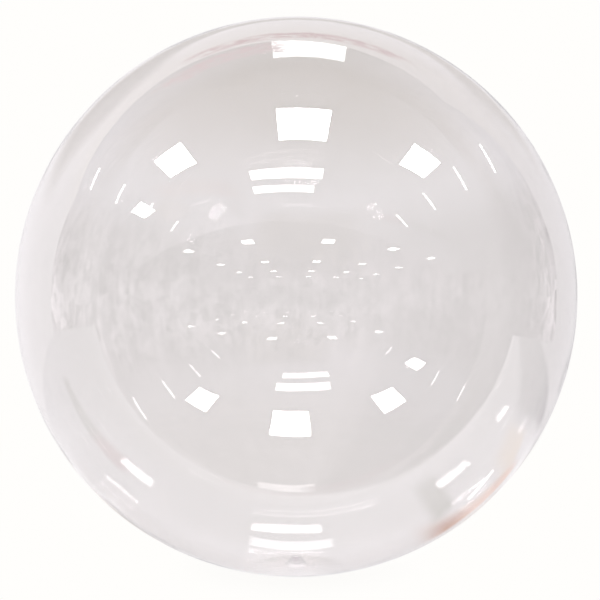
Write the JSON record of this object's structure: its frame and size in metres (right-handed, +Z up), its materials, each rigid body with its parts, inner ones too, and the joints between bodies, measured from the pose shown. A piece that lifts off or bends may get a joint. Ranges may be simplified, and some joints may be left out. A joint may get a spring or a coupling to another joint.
{
  "type": "clear bubble balloon",
  "caption": "Round see-through film balloon, blown up tight and empty, resting on a small flat spot round its tucked-in sealed neck.",
  "frame": {"origin": "on the floor under the middle of the ball, at the bottom centre of its box", "axes": "+Z up, through the neck and the top of the ball; -Y faces the camera and +X is to its right"},
  "size_m": [0.508, 0.508, 0.5028],
  "materials": {
    "clear_film": "clear, glossy stretch film with a faint grey haze"
  },
  "bodies": {
    "root": {"balloon": "clear_film"}
  },
  "joints": []
}
